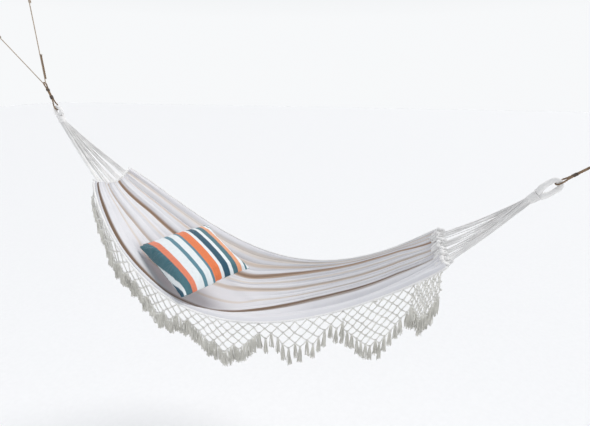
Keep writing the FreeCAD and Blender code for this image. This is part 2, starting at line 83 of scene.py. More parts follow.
class Paint:
    """A Principled material with short ways to add nodes to it."""

    def __init__(self, name, colour, roughness, sheen=0.0, metallic=0.0):
        self.material = bpy.data.materials.new(name)
        self.material.use_nodes = True
        self.tree = self.material.node_tree
        self.shader = self.tree.nodes["Principled BSDF"]
        self.shader.inputs["Base Color"].default_value = (*colour, 1)
        self.shader.inputs["Roughness"].default_value = roughness
        self.shader.inputs["Sheen Weight"].default_value = sheen
        self.shader.inputs["Sheen Roughness"].default_value = 0.5
        self.shader.inputs["Metallic"].default_value = metallic

    def node(self, kind, links=None, **settings):
        """A new node: settings that name one of its sockets go there, and the rest are its properties."""
        made = self.tree.nodes.new(kind)
        for key, value in settings.items():
            socket = made.inputs.get(key.replace("_", " "))
            if socket is not None:
                socket.default_value = value
            else:
                setattr(made, key.lower(), value)
        for key, source in (links or {}).items():
            self.tree.links.new(source, made.inputs[key])
        return made

    def math(self, operation, *values):
        made = self.node("ShaderNodeMath", operation=operation)
        for socket, value in zip(made.inputs, values):
            if isinstance(value, (int, float)):
                socket.default_value = value
            else:
                self.tree.links.new(value, socket)
        return made.outputs[0]

    def map(self, source, scale):
        return self.node("ShaderNodeMapping", {"Vector": source}, Scale=scale).outputs[0]

    def split(self, source):
        return self.node("ShaderNodeSeparateXYZ", {"Vector": source}).outputs

    def coordinates(self, output="UV"):
        return self.node("ShaderNodeTexCoord").outputs[output]

    def noise(self, source, scale, detail=3.0):
        return self.node("ShaderNodeTexNoise", {"Vector": source}, Scale=scale, Detail=detail).outputs["Fac"]

    def waves(self, source, scale, direction, distortion=0.0):
        return self.node("ShaderNodeTexWave", {"Vector": source}, Scale=scale, Distortion=distortion,
                         wave_type="BANDS", bands_direction=direction).outputs["Fac"]

    def ramp(self, source, stops, interpolation="LINEAR"):
        made = self.node("ShaderNodeValToRGB", {"Fac": source})
        made.color_ramp.interpolation = interpolation
        elements = made.color_ramp.elements
        while len(elements) < len(stops):
            elements.new(0.5)
        for element, (place, colour) in zip(elements, stops):
            element.position = place
            element.color = (*colour, 1)
        return made.outputs["Color"]

    def mix(self, factor, first, second, blend="MIX"):
        made = self.node("ShaderNodeMix", data_type="RGBA", blend_type=blend)
        for name, value in (("Factor_Float", factor), ("A_Color", first), ("B_Color", second)):
            socket = next(s for s in made.inputs if s.identifier == name)
            if isinstance(value, (int, float)):
                socket.default_value = value
            elif isinstance(value, tuple):
                socket.default_value = (*value, 1)
            else:
                self.tree.links.new(value, socket)
        return next(s for s in made.outputs if s.identifier == "Result_Color")

    def worn(self, colour, tone, shade, strength):
        """A colour darkened in patches."""
        return self.mix(strength, colour, self.ramp(tone, [(0.3, shade), (0.7, WHITE)]), "MULTIPLY")

    def colour(self, source):
        self.tree.links.new(source, self.shader.inputs["Base Color"])

    def roughness(self, source, low, high):
        ranged = self.node("ShaderNodeMapRange", {"Value": source}, To_Min=low, To_Max=high)
        self.tree.links.new(ranged.outputs[0], self.shader.inputs["Roughness"])

    def bump(self, source, strength, distance):
        made = self.node("ShaderNodeBump", {"Height": source}, Strength=strength, Distance=distance)
        self.tree.links.new(made.outputs[0], self.shader.inputs["Normal"])


def yarn_paint(name, light, dark, sheen=0.35, fibre=900.0, patches=14.0):
    """Spun yarn: fibres along the map's length, and patches of a darker tone."""
    paint = Paint(name, light, 0.88, sheen)
    along = paint.map(paint.coordinates("UV"), (fibre, 9.0, 1.0))
    fibres = paint.noise(along, 1.0, 2.0)
    tone = paint.noise(paint.coordinates("Object"), patches, 4.0)
    both = paint.math("MULTIPLY_ADD", fibres, 0.45, paint.math("MULTIPLY", tone, 0.55))
    paint.colour(paint.ramp(both, [(0.3, dark), (0.62, light)]))
    paint.roughness(fibres, 0.75, 0.95)
    paint.bump(fibres, 0.5, 0.0006)
    return paint.material


def metal_paint(name):
    """Zinc plated steel, a little dulled."""
    paint = Paint(name, (0.55, 0.55, 0.53), 0.35, metallic=1.0)
    mottle = paint.noise(paint.coordinates("Object"), 220.0, 6.0)
    paint.colour(paint.ramp(mottle, [(0.3, (0.42, 0.42, 0.41)), (0.7, (0.66, 0.66, 0.64))]))
    paint.roughness(mottle, 0.26, 0.5)
    paint.bump(mottle, 0.15, 0.0003)
    return paint.material


def weave(paint, source, pitch):
    """The height of a plain weave whose threads are a pitch apart in the map's two directions."""
    turns = math.pi / pitch / 10
    warp = paint.waves(source, turns, "X")
    weft = paint.waves(source, turns, "Y")
    fuzz = paint.noise(source, 0.6 / pitch, 3.0)
    threads = paint.math("MULTIPLY", warp, weft)
    return paint.math("MULTIPLY_ADD", fuzz, 0.5, threads)


def cloth_paint():
    """Heavy off-white cotton with a few lengthwise stripes, woven at set shares of its width."""
    paint = Paint("hammock_cotton", (0.84, 0.83, 0.85), 0.9, 0.3)
    uv = paint.coordinates("UV")
    wander = paint.noise(paint.map(uv, (9.0, 60.0, 1.0)), 1.0)
    along = paint.split(uv)["X"]
    share = paint.split(uv)["Y"]
    ragged = paint.math("MULTIPLY_ADD", wander, 0.004, paint.math("SUBTRACT", share, 0.002))
    white = (0.73, 0.725, 0.75)
    tones = {"brown": (0.20, 0.13, 0.085), "tan": (0.40, 0.28, 0.2), "beige": (0.58, 0.49, 0.42),
             "fawn": (0.68, 0.62, 0.57)}

    def bands(widening):
        stops = [(0.0, white)]
        for place, half, soft, tone in STRIPES:
            half *= widening
            stops += [(place - half - soft, white), (place - half, tones[tone]),
                      (place + half, tones[tone]), (place + half + soft, white)]
        return paint.ramp(ragged, stops + [(1.0, white)])

    # The pleats hide the stripes' sides at the left end, and the cloth is stretched widest in its middle
    station = paint.math("DIVIDE", along, BED_LENGTH)
    opened = paint.ramp(station, [(0.15, BLACK), (0.5, WHITE), (0.78, (0.8,) * 3), (1.0, (0.4,) * 3)])
    stripes = paint.mix(opened, bands(0.6), bands(1.4))
    tone = paint.noise(paint.coordinates("Object"), 5.0, 5.0)
    paint.colour(paint.worn(stripes, tone, (0.86, 0.86, 0.88), 0.5))
    metric = paint.map(uv, (1.0, BED_WIDTH, 1.0))
    paint.bump(weave(paint, metric, 0.0016), 0.35, 0.0006)
    paint.roughness(tone, 0.82, 0.96)
    return paint.material


def pillow_paint():
    """Coarse cotton with printed stripes across the pillow's own Y axis."""
    paint = Paint("pillow_stripes", (0.9, 0.9, 0.88), 0.85, 0.25)
    uv = paint.coordinates("UV")
    wander = paint.noise(paint.map(uv, (18.0, 90.0, 1.0)), 1.0)
    along = paint.split(uv)["X"]
    across = paint.split(uv)["Y"]
    straight = paint.math("MULTIPLY_ADD", across, 1 / PILLOW_SIDE, 0.5)
    skew = paint.math("MULTIPLY_ADD", along, -0.105 / PILLOW_SIDE, 0.0325)
    near = paint.math("POWER", paint.math("SUBTRACT", 1.0, straight), 3.0)
    place = paint.math("MULTIPLY_ADD", skew, near, straight)
    ragged = paint.math("MULTIPLY_ADD", wander, 0.008, paint.math("SUBTRACT", place, 0.004))
    white = (0.82, 0.86, 0.87)
    navy = (0.012, 0.075, 0.125)
    teal = (0.06, 0.165, 0.2)
    mist = (0.1, 0.24, 0.3)
    coral = (0.8, 0.235, 0.13)
    orange = (0.8, 0.2, 0.065)
    peach = (0.8, 0.36, 0.2)
    bands = ((0.0, navy), (0.055, white), (0.085, teal), (0.165, coral), (0.225, white), (0.325, mist),
             (0.37, white), (0.445, mist), (0.475, orange), (0.575, white), (0.615, navy), (0.695, white),
             (0.74, teal), (0.805, peach), (0.86, white), (0.905, teal), (0.93, white), (0.965, teal))
    stops = []
    soft = 0.003
    before = navy
    for start, shade in bands:
        stops += [(max(0.0, start - soft), before), (start + soft, shade)]
        before = shade
    # One ramp holds too few stops, so each takes half of the pillow's width
    first = [(2 * place, shade) for place, shade in stops if place <= 0.5]
    second = [(2 * place - 1, shade) for place, shade in stops if place > 0.5]
    lower = paint.ramp(paint.math("MULTIPLY", ragged, 2.0), first)
    upper = paint.ramp(paint.math("MULTIPLY_ADD", ragged, 2.0, -1.0), second)
    stripes = paint.mix(paint.math("GREATER_THAN", ragged, 0.5), lower, upper)
    # A dark teal band along the pillow's +X edge, on both faces: partly its real border, partly painted shade
    # along that edge
    shaded_border = paint.math("GREATER_THAN", along, PILLOW_SIDE / 2 - PILLOW_SHADED_BORDER)
    shaded_edge = paint.mix(shaded_border, stripes, (0.03, 0.11, 0.15))
    tone = paint.noise(paint.coordinates("Object"), 60.0, 5.0)
    paint.colour(paint.worn(shaded_edge, tone, (0.8, 0.82, 0.84), 0.35))
    paint.bump(weave(paint, uv, 0.0022), 0.5, 0.0008)
    paint.roughness(tone, 0.78, 0.95)
    return paint.material


def floor_paint():
    """Pale matt floor."""
    paint = Paint("studio_floor", (0.86, 0.86, 0.865), 0.9)
    grain = paint.noise(paint.coordinates("Object"), 30.0, 3.0)
    paint.colour(paint.ramp(grain, [(0.3, (0.85, 0.85, 0.855)), (0.7, (0.87, 0.87, 0.875))]))
    return paint.material


# ---------------------------------------------------------------- mesh helpers

def link(obj):
    bpy.context.scene.collection.objects.link(obj)
    return obj


def mesh_object(name, points, faces, paint=None, maps=None, smooth=False):
    """A new object from points and faces. A map has one place for each corner of each face."""
    mesh = bpy.data.meshes.new(name)
    mesh.from_pydata(points, [], faces)
    if maps is not None:
        layer = mesh.uv_layers.new(name="map")
        layer.data.foreach_set("uv", maps.astype(np.float32).ravel())
    mesh.polygons.foreach_set("use_smooth", [smooth] * len(mesh.polygons))
    if paint:
        mesh.materials.append(paint)
    return link(bpy.data.objects.new(name, mesh))


def tag(obj, body=None, node=None):
    """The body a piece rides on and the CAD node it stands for."""
    if body:
        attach(obj, body)
    if node:
        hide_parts(node)
    return obj


def sample(path, distance, places):
    """The points of a path at the given distances along it."""
    return np.stack([np.interp(places, distance, path[:, axis]) for axis in range(3)], axis=-1)


def travel(path):
    """Distances along a path, from its start."""
    return np.concatenate([[0], np.cumsum(np.linalg.norm(np.diff(path, axis=0), axis=1))])


def spread(path, spacing):
    """The same path with evenly spaced points about a spacing apart."""
    distance = travel(path)
    count = max(3, int(round(distance[-1] / spacing)) + 1)
    return sample(path, distance, np.linspace(0, distance[-1], count))


def sides_of(path):
    """Two unit vectors square to the path at each point, turning as little as they can along it."""
    ways = np.gradient(path, axis=0)
    ways /= np.linalg.norm(ways, axis=1)[:, None]
    start = np.cross(ways[0], (0.0, 1.0, 0.0) if abs(ways[0][1]) < 0.9 else (1.0, 0.0, 0.0))
    first = [start / np.linalg.norm(start)]
    for way in ways[1:]:
        side = first[-1] - way * np.dot(first[-1], way)
        first.append(side / np.linalg.norm(side))
    first = np.array(first)
    return first, np.cross(ways, first)


class Yarns:
    """Collects tubes into one mesh. Its map runs along each tube in metres and once round it."""

    def __init__(self):
        self.points = []
        self.faces = []
        self.maps = []
        self.count = 0

    def tube(self, path, radius, sides=8, lobes=0, lay=0.02, depth=0.0, ridges=None):
        """Sweeps a round section, or one of several twisted lobes, or one ridged like a close winding."""
        path = np.asarray(path, float)
        distance = travel(path)
        first, second = sides_of(path)
        turn = np.linspace(0, 2 * math.pi, sides, endpoint=False)[None, :]
        radii = np.broadcast_to(np.asarray(radius, float).reshape(-1, 1), (len(path), 1))
        shape = np.ones((len(path), sides))
        if lobes:
            twist = lobes * (turn - 2 * math.pi * distance[:, None] / lay) / 2
            shape = 1 - depth + depth * np.abs(np.cos(twist)) ** 0.8
        if ridges:
            phase = distance[:, None] / ridges + turn / (2 * math.pi)
            shape = 1 - depth + depth * np.abs(np.sin(math.pi * phase)) ** 0.6
        reach = radii * shape
        ring = (path[:, None, :] + first[:, None, :] * (reach * np.cos(turn))[:, :, None]
                + second[:, None, :] * (reach * np.sin(turn))[:, :, None])
        base = self.count
        rows = len(path)
        self.points.append(ring.reshape(-1, 3))
        row, column = np.meshgrid(np.arange(rows - 1), np.arange(sides), indexing="ij")
        after = (column + 1) % sides
        quads = np.stack([row * sides + column, row * sides + after,
                          (row + 1) * sides + after, (row + 1) * sides + column], axis=-1)
        self.faces += (quads.reshape(-1, 4) + base).tolist()
        near = column / sides
        far = near + 1 / sides
        start = distance[row]
        end = distance[row + 1]
        corners = [np.stack(pair, -1) for pair in ((start, near), (start, far), (end, far), (end, near))]
        self.maps.append(np.stack(corners, axis=-2).reshape(-1, 2))
        for cap, place in ((list(range(base + sides - 1, base - 1, -1)), distance[0]),
                           (list(range(base + (rows - 1) * sides, base + rows * sides)), distance[-1])):
            self.faces.append(cap)
            self.maps.append(np.array([(place, 0.5)] * sides))
        self.count += rows * sides

    def laid(self, path, diameter, strands, lay, sides=8):
        """A rope of separate strands twisted round its centre line."""
        first, second = sides_of(path)
        distance = travel(path)
        offset = diameter * 0.268
        for strand in range(strands):
            angle = 2 * math.pi * (distance / lay + strand / strands)
            centre = path + offset * (first * np.cos(angle)[:, None] + second * np.sin(angle)[:, None])
            self.tube(centre, diameter * 0.238, sides, lobes=4, lay=-lay * 0.4, depth=0.14)

    def knot(self, centre, size, way):
        """A small hard knot: two turns of cord drawn tight, crosswise."""
        centre = np.asarray(centre, float)
        way = np.asarray(way, float)
        side = np.cross(way, (0.0, 0.0, 1.0) if abs(way[2]) < 0.9 else (0.0, 1.0, 0.0))
        side /= np.linalg.norm(side)
        other = np.cross(way, side)
        angle = np.linspace(0, 2 * math.pi, 9)
        for tilt in (0.45, -0.5):
            leaning = side * math.cos(tilt) + way * math.sin(tilt)
            ring = np.outer(np.cos(angle), leaning) + np.outer(np.sin(angle), other)
            self.tube(centre + ring * size * 0.55, size * 0.45, 6)

    def piece(self, name, material, body=None, node=None):
        """The finished mesh, tagged."""
        points = np.concatenate(self.points).tolist()
        obj = mesh_object(name, points, self.faces, material, np.concatenate(self.maps), smooth=True)
        return tag(obj, body, node)


def grid_mesh(name, points, maps, material):
    """A sheet from a grid of points, rows by columns, with a map of the same shape."""
    rows, columns = points.shape[:2]
    row, column = np.meshgrid(np.arange(rows - 1), np.arange(columns - 1), indexing="ij")
    corners = [row * columns + column, (row + 1) * columns + column,
               (row + 1) * columns + column + 1, row * columns + column + 1]
    faces = np.stack(corners, axis=-1).reshape(-1, 4)
    places = points.reshape(-1, 3).tolist()
    corner_maps = maps.reshape(-1, 2)[faces.ravel()]
    return mesh_object(name, places, faces.tolist(), material, corner_maps, smooth=True)


def spline_line(name, points):
    """The smooth line of a route: an order 3 NURBS spline with the route's points as control points."""
    curve = bpy.data.curves.new(name, "CURVE")
    curve.dimensions = "3D"
    curve.resolution_u = 12
    spline = curve.splines.new("NURBS")
    spline.points.add(len(points) - 1)
    for control, place in zip(spline.points, points):
        control.co = (*place, 1)
    spline.order_u = 3
    spline.use_endpoint_u = True
    holder = link(bpy.data.objects.new(name, curve))
    line = bpy.data.meshes.new_from_object(holder)
    path = np.array([v.co for v in line.vertices])
    bpy.data.objects.remove(holder)
    bpy.data.meshes.remove(line)
    return path


# ---------------------------------------------------------------- the pillow's place and the bed's shape

PILLOW_SIDE = 0.460
PILLOW_HEIGHT = 0.110
# How wide the dark teal band at the pillow's +X edge is: partly its real border, partly painted shade along
# that edge
PILLOW_SHADED_BORDER = 0.021
PILLOW_CROWN = 0.46
PILLOW_PLACE = (Matrix.Translation((-1.983, -0.140, -0.643)) @ Matrix.Rotation(math.radians(16.4), 4, "Y")
                @ Matrix.Rotation(math.radians(11), 4, "X") @ Matrix.Rotation(math.radians(-30), 4, "Z"))

BED_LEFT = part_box("bed_fabric")[0].x
BED_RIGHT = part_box("bed_fabric")[1].x
LOW_X = -1.496
LOW_Z = -0.842
SAG = 1.0
LEFT_HALF = 0.165
RIGHT_HALF = 0.240
MIDDLE_HALF = 0.392
SWELL = 0.7
WIDTH_SKEW = 0.170
HEIGHT_SKEW = 0.072
END_DEPTH = 0.050
MIDDLE_DEPTH = 0.150
HEM_RADIUS = 0.006
BED_WIDTH = 0.9
BED_LENGTH = 2.23

# Where the cloth's stripes lie, as shares of its threads from the front edge, then half widths, soft edges
# and tones
STRIPES = ((0.25, 0.019, 0.012, "brown"), (0.42, 0.005, 0.012, "fawn"), (0.56, 0.010, 0.014, "beige"),
           (0.66, 0.005, 0.012, "fawn"), (0.75, 0.014, 0.012, "tan"), (0.86, 0.010, 0.014, "beige"),
           (0.94, 0.012, 0.014, "fawn"))
# How three of those threads run: shares of the bed's length, then -1 at its front edge to 1 at its rear edge
GUIDES = (0.25, 0.56, 0.75)
THREADS = (
    (0.0, -0.90, -0.45, 0.15),
    (0.07, -0.93, -0.24, 0.37),
    (0.14, -0.94, -0.18, 0.40),
    (0.27, -0.88, 0.02, 0.42),
    (0.40, -0.62, 0.22, 0.47),
    (0.46, -0.26, 0.33, 0.60),
    (0.54, 0.03, 0.44, 0.74),
    (0.63, 0.24, 0.56, 0.84),
    (0.72, 0.34, 0.63, 0.89),
    (0.82, 0.36, 0.66, 0.92),
    (0.90, 0.35, 0.65, 0.90),
    (0.95, 0.24, 0.58, 0.80),
    (1.0, 0.05, 0.42, 0.68),
)
# The valleys between the deep pleats that the left end's cords draw up, and between the lower folds elsewhere
PLEATS = (0.0, 0.25, 0.56, 0.75, 0.88, 0.955, 1.0)
FOLDS = (0.0, 0.05, 0.11, 0.18, 0.25, 0.33, 0.41, 0.485, 0.56, 0.625, 0.69, 0.75, 0.81, 0.88, 0.94, 1.0)
# The mesh's points each way, and how high and how wide (a share of the threads) the front edge rolls
CLOTH_ROWS = 300
LIP_RISE = 0.026
LIP_SHARE = 0.24


def span(x):
    return (x - (BED_LEFT + BED_RIGHT) / 2) / ((BED_RIGHT - BED_LEFT) / 2)


def hem_height(x):
    t = span(x)
    return LOW_Z + SAG * (np.cosh((x - LOW_X) / SAG) - 1) + HEIGHT_SKEW * t * (1 - t * t)


def half_width(x):
    t = np.clip(span(x), -1, 1)
    end = np.where(t < 0, LEFT_HALF, RIGHT_HALF)
    return end + (MIDDLE_HALF - end) * (1 - t * t) ** SWELL - WIDTH_SKEW * t * (1 - t * t)


def trough_depth(x):
    t = np.clip(span(x), -1, 1)
    return END_DEPTH + (MIDDLE_DEPTH - END_DEPTH) * np.sqrt(1 - t * t)


def trough_point(x, across):
    """A point of the cloth's middle surface, and the way up out of it. across is -1 (front) to 1 (rear)."""
    half = half_width(x) - HEM_RADIUS * 0.7
    depth = trough_depth(x)
    place = np.stack([x + 0 * across, half * across, hem_height(x) - depth * (1 - across ** 2)], axis=-1)
    slope = 2 * depth * across / half
    rise = (hem_height(x + 0.005) - hem_height(x - 0.005)) / 0.01
    normal = np.stack([-rise + 0 * across, -slope, np.ones_like(slope)], axis=-1)
    return place, normal / np.linalg.norm(normal, axis=-1)[..., None]


def hem_line(side, count=240):
    """Points along one long edge of the bed, and their shares of its length."""
    t = np.linspace(0, math.pi, count)
    x = (BED_LEFT + BED_RIGHT) / 2 - (BED_RIGHT - BED_LEFT) / 2 * np.cos(t)
    path = np.stack([x, side * half_width(x), hem_height(x)], axis=1)
    distance = travel(path)
    return path, distance / distance[-1]


def hem_at(side, share):
    path, shares = hem_line(side)
    return sample(path, shares, share)


def thread_place(share_along, threads):
    """How far across the bed each thread lies, -1 to 1, at a share of the bed's length."""
    stations = [row[0] for row in THREADS]
    middle = [np.interp(share_along, stations, [row[k] for row in THREADS]) for k in (1, 2, 3)]
    knots = [0.0, *GUIDES, 1.0]
    return np.interp(threads, knots, [-1.0] + middle + [1.0])


def smooth_rows(values, width, axis):
    """A running mean that keeps the first and last values."""
    kernel = np.hanning(width + 2)[1:-1]
    kernel /= kernel.sum()
    pads = [(0, 0), (0, 0)]
    pads[axis] = (width // 2, width // 2)
    padded = np.pad(values, pads, mode="reflect", reflect_type="odd")
    return np.apply_along_axis(lambda line: np.convolve(line, kernel, mode="valid"), axis, padded)


def swells(threads, across, half, valleys, sharpness):
    """How high rounded folds between valleys stand, for folds that rise as far as they are wide."""
    valleys = np.array(valleys)
    fold = np.clip(np.searchsorted(valleys, threads, side="right") - 1, 0, len(valleys) - 2)
    inside = (threads - valleys[fold]) / (valleys[fold + 1] - valleys[fold])
    places = np.array([np.interp(valleys, threads, row) for row in across])
    widths = np.diff(places, axis=1) * half
    uneven = 1 + 0.3 * np.sin(fold * 2.4 + 0.8)
    return np.minimum(widths, 0.15)[:, fold] * (uneven * np.abs(np.sin(math.pi * inside)) ** sharpness), fold


def under_pillow(place):
    """1 where the pillow presses the cloth flat, fading to 0 a hand's width away."""
    back = np.array(PILLOW_PLACE.inverted())
    local = place @ back[:3, :3].T + back[:3, 3]
    away = np.maximum(np.abs(local[..., 0]), np.abs(local[..., 1])) - PILLOW_SIDE / 2
    return 1 / (1 + np.exp((away - 0.02) / 0.012))


def near_end(distance, reach):
    """1 at an end of the cloth, fading away from it."""
    return np.exp(-distance / reach)


def bed_cloth(paint):
    """The cloth: deep pleats drawn up at both ends, softer folds between and a front edge that rolls."""
    along = (1 - np.cos(np.linspace(0, math.pi, CLOTH_ROWS))) / 2
    x = BED_LEFT + (BED_RIGHT - BED_LEFT) * along
    even = np.linspace(0, 1, CLOTH_ROWS)
    # The points lie closer together toward the cloth's long edges
    threads = even - 0.6 * np.sin(2 * math.pi * even) / (2 * math.pi)
    across = np.array([thread_place(a, threads) for a in along])
    across = smooth_rows(smooth_rows(across, 21, 0), 17, 1)
    across[:, 0] = -1
    across[:, -1] = 1
    place, normal = trough_point(x[:, None], across)
    from_left = (x - BED_LEFT)[:, None]
    from_right = (BED_RIGHT - x)[:, None]
    half = half_width(x)[:, None]
    deep, _ = swells(threads, across, half, PLEATS, 0.5)
    soft, fold = swells(threads, across, half, FOLDS, 0.55)
    wander = 1 + 0.25 * np.sin(from_left * 6 + fold[None, :] * 1.9)
    lift = deep * (0.25 * near_end(from_left, 0.45) + 0.05 * near_end(from_right, 0.3))
    lift += soft * wander * (0.13 + 0.06 * near_end(from_right, 0.4))
    gather = near_end(from_left, 0.06) + near_end(from_right, 0.06)
    lift += gather * 0.003 * np.sin(threads[None, :] * 2 * math.pi * 31 + np.sin(threads * 40)[None, :])
    rumple = np.sin(threads * 150 + 2 * np.sin(threads * 31))[None, :]
    lift += 0.0009 * rumple * np.sin(from_left * 11 + 5 * threads[None, :])
    edge = np.minimum(1, np.minimum(threads, 1 - threads) / 0.012)[None, :]
    lift = smooth_rows(lift * edge, 3, 1) * (1 - 0.92 * under_pillow(place))
    place = place + normal * lift[..., None]
    lip = (1 - np.exp(-threads / 0.009)) * np.clip(1 - threads / LIP_SHARE, 0, 1) ** 1.3
    full = (1 - near_end(from_left, 0.6)) * np.minimum(1, from_right / 0.12 + 0.3)
    place[..., 2] += LIP_RISE * lip[None, :] * full
    distance = travel(np.stack([x, 0 * x, hem_height(x)], axis=1))
    maps = np.stack(np.broadcast_arrays(distance[:, None], threads[None, :]), -1)
    cloth = grid_mesh("bed_cloth", place, maps, paint)
    thick = cloth.modifiers.new("thickness", "SOLIDIFY")
    thick.thickness = 0.0016
    thick.offset = -1
    return tag(cloth, "bed", "bed_fabric")


def hems(paint):
    """Each long edge: the cloth rolled over a cord and whipped down."""
    made = []
    for name, side in (("front", -1), ("rear", 1)):
        yarns = Yarns()
        path = spread(hem_line(side)[0], 0.0032)
        yarns.tube(path, HEM_RADIUS * 1.02, 14, lobes=2, lay=0.034, depth=0.22)
        made.append(yarns.piece(name + "_hem_cord", paint, "bed", name + "_hem"))
    return made


# ---------------------------------------------------------------- ends: bands, fans of cords, wraps and eyes

BUNDLES = 5
LOOPS = 5
STRINGS = 13
STRING_RADIUS = 0.0023


class End:
    """One end of the hammock: its eye loop, neck and the edge of the cloth that its cords reach."""

    def __init__(self, name, outward, pivot, neck_angle, eye, wrap, knots, droop):
        self.name = name
        self.outward = outward
        self.pivot = Vector(pivot)
        angle = math.radians(neck_angle)
        self.inward = Vector((-outward * math.cos(angle), 0, -math.sin(angle)))
        self.flat = self.inward.cross(ACROSS)
        self.eye_length, self.eye_radius, self.eye_thick, self.neck = eye
        self.wrap_length, self.mouth, self.tail = wrap
        self.knots = knots
        self.droop = droop
        self.edge_x = BED_LEFT if outward < 0 else BED_RIGHT
        self.wrap_start = self.eye_length + 0.0045

    def band_point(self, share, beyond):
        """A point a little beyond the cloth's edge, at a share of the way across from the front."""
        across = np.array([share * 2 - 1])
        place, _ = trough_point(np.array([self.edge_x]), across)
        slope = (hem_height(self.edge_x) - hem_height(self.edge_x - self.outward * 0.01)) / 0.01
        return Vector(place[0]) + Vector((self.outward * beyond, 0, float(slope) * beyond))


ENDS = (
    End("right", 1, (-0.218, 0, -0.130), 40, eye=(0.100, 0.024, 0.012, 0.013), wrap=(0.046, 0.026, 0.020),
        knots=0.0170, droop=0.024),
    End("left", -1, (-2.863, 0, 0.152), 74, eye=(0.048, 0.018, 0.0095, 0.0105), wrap=(0.036, 0.021, 0.018),
        knots=0.004, droop=0.008),
)


def bundle_share(bundle, offset):
    """How far across the cloth's end a cord reaches it, offset by a share of its bundle's pitch."""
    return 0.03 + 0.94 * (bundle + 0.5 + offset) / BUNDLES


def eye_loop(end, paint):
    """The loop at the end of the cords, closely wound with cord."""
    r = end.eye_radius
    waist = 0.62 * end.eye_length
    leg = np.linspace(end.eye_length + 0.003, waist, 12)
    opening = (1 - np.cos(math.pi * (end.eye_length - leg) / (end.eye_length - waist))) / 2
    drawn_in = end.neck + (r - end.neck) * opening
    turn = np.linspace(math.pi / 2, -math.pi / 2, 25)
    reach = np.concatenate([leg, r - r * np.cos(turn), leg[::-1]])
    aside = np.concatenate([drawn_in, r * np.sin(turn), -drawn_in[::-1]])
    path = np.array([end.pivot + end.inward * s + end.flat * a for s, a in zip(reach, aside)])
    yarns = Yarns()
    path = spread(path, 0.0007)
    distance = travel(path)
    toward_neck = np.abs(2 * distance / distance[-1] - 1)
    worn = 1 + 0.03 * np.sin(distance * 90) + 0.4 * toward_neck ** 2
    yarns.tube(path, end.eye_thick * worn, 28, ridges=0.0042, depth=0.12)
    yarns.piece(end.name + "_eye_loop", paint, "bed", end.name + "_eye")


def neck_wrap(end, paint):
    """Turns of cord that bind the suspension cords below the eye, over the cords' own doubled ends."""
    yarns = Yarns()
    reach = np.linspace(0, end.wrap_length, 90)
    share = reach / end.wrap_length
    path = np.array([end.pivot + end.inward * (end.wrap_start + s) for s in reach])
    radius = end.mouth + (end.tail - end.mouth) * share
    shoulders = np.minimum(1, np.minimum(share, 1 - share) / 0.07)
    yarns.tube(path, radius * (0.62 + 0.38 * np.sqrt(shoulders)), 40, ridges=0.0036, depth=0.09)
    yarns.piece(end.name + "_neck_wrap", paint, "bed", end.name + "_wrap")


def cord_fan(end, paint):
    """The suspension cords, two deep in each bundle, that spread from the neck to the end of the cloth."""
    start = end.pivot + end.inward * (end.wrap_start + end.wrap_length - 0.008)
    for bundle in range(BUNDLES):
        yarns = Yarns()
        for string in range(STRINGS):
            place = (string + 0.5) / STRINGS - 0.5
            share = bundle_share(bundle, place * 0.62)
            layer = (string % 2 - 0.5) * 2
            row = ((bundle * STRINGS + string * 7) % 11) / 5 - 1
            root = start + ACROSS * ((share - 0.5) * end.tail * 1.7)
            root += end.flat * (row * end.tail * 0.8 * math.sqrt(1 - (2 * share - 1) ** 2))
            tip = end.band_point(share, -0.014) + UP * (0.0035 + 0.0015 * layer)
            droop = end.droop * (1 - (2 * share - 1) ** 2) + 0.0035 * random.random() - 0.0012 * layer
            slack = Vector((0, random.uniform(-0.002, 0.002), -droop))
            ways = np.linspace(0, 1, 14)
            path = np.array([root.lerp(tip, w) + slack * math.sin(math.pi * w) for w in ways])
            yarns.tube(spread(path, 0.0024), STRING_RADIUS, 6, lobes=2, lay=0.012, depth=0.26)
        number = bundle + 1
        yarns.piece(f"{end.name}_strings_{number}", paint, "bed", f"{end.name}_cords_{number}")


def end_band(end, paint):
    """The cloth's last threads, gathered over a header cord and knotted at the roots of the strings."""
    yarns = Yarns()
    shares = np.linspace(0, 1, 120)
    for beyond, radius in ((0.0, 0.0032), (0.007, 0.0036)):
        header = np.array([end.band_point(s, beyond + 0.0012 * math.sin(s * 70)) for s in shares])
        yarns.tube(spread(header, 0.002), radius, 10, lobes=3, lay=0.02, depth=0.2)
    for k in range(BUNDLES * LOOPS):
        share = bundle_share(k // LOOPS, (k % LOOPS - 2) * 0.155)
        size = end.knots * random.uniform(0.8, 1.2)
        shift = 0.003 + random.uniform(-0.6, 0.4) * size
        middle = end.band_point(share, shift)
        back = end.band_point(share, shift - size * 1.6)
        front = end.band_point(share, shift + size * 1.3)
        lean = ACROSS * random.uniform(-0.5, 0.5) * size
        corners = (back + UP * size * 0.3, middle + UP * size + lean, front + UP * size * 0.2,
                   front - UP * size * 0.3, middle - UP * size - lean, back - UP * size * 0.3)
        yarns.tube(spread(spline_line("loop", corners), 0.002), size * 0.42, 8, lobes=2, lay=0.012, depth=0.2)
        yarns.knot(middle + UP * size * 0.9, size * 0.9, (1, 0, 0))
    return yarns.piece(end.name + "_header", paint, "bed", end.name + "_end_band")


# ---------------------------------------------------------------- fringe

# Each flap: the share of the hem where it starts, and how deep its net is at its sides and its point
FLAPS = ((0.012, 0.070, 0.150), (0.23, 0.070, 0.145), (0.41, 0.075, 0.205),
         (0.575, 0.075, 0.175), (0.765, 0.110, 0.270), (0.925, 0.130, 0.215))
FRINGE_END = 0.988
COLUMNS = 7
TASSEL = 0.095
YARNS = 15


def joint(name):
    return next(j for j in frame["record"]["behaviour"]["joints"] if j["name"] == name)


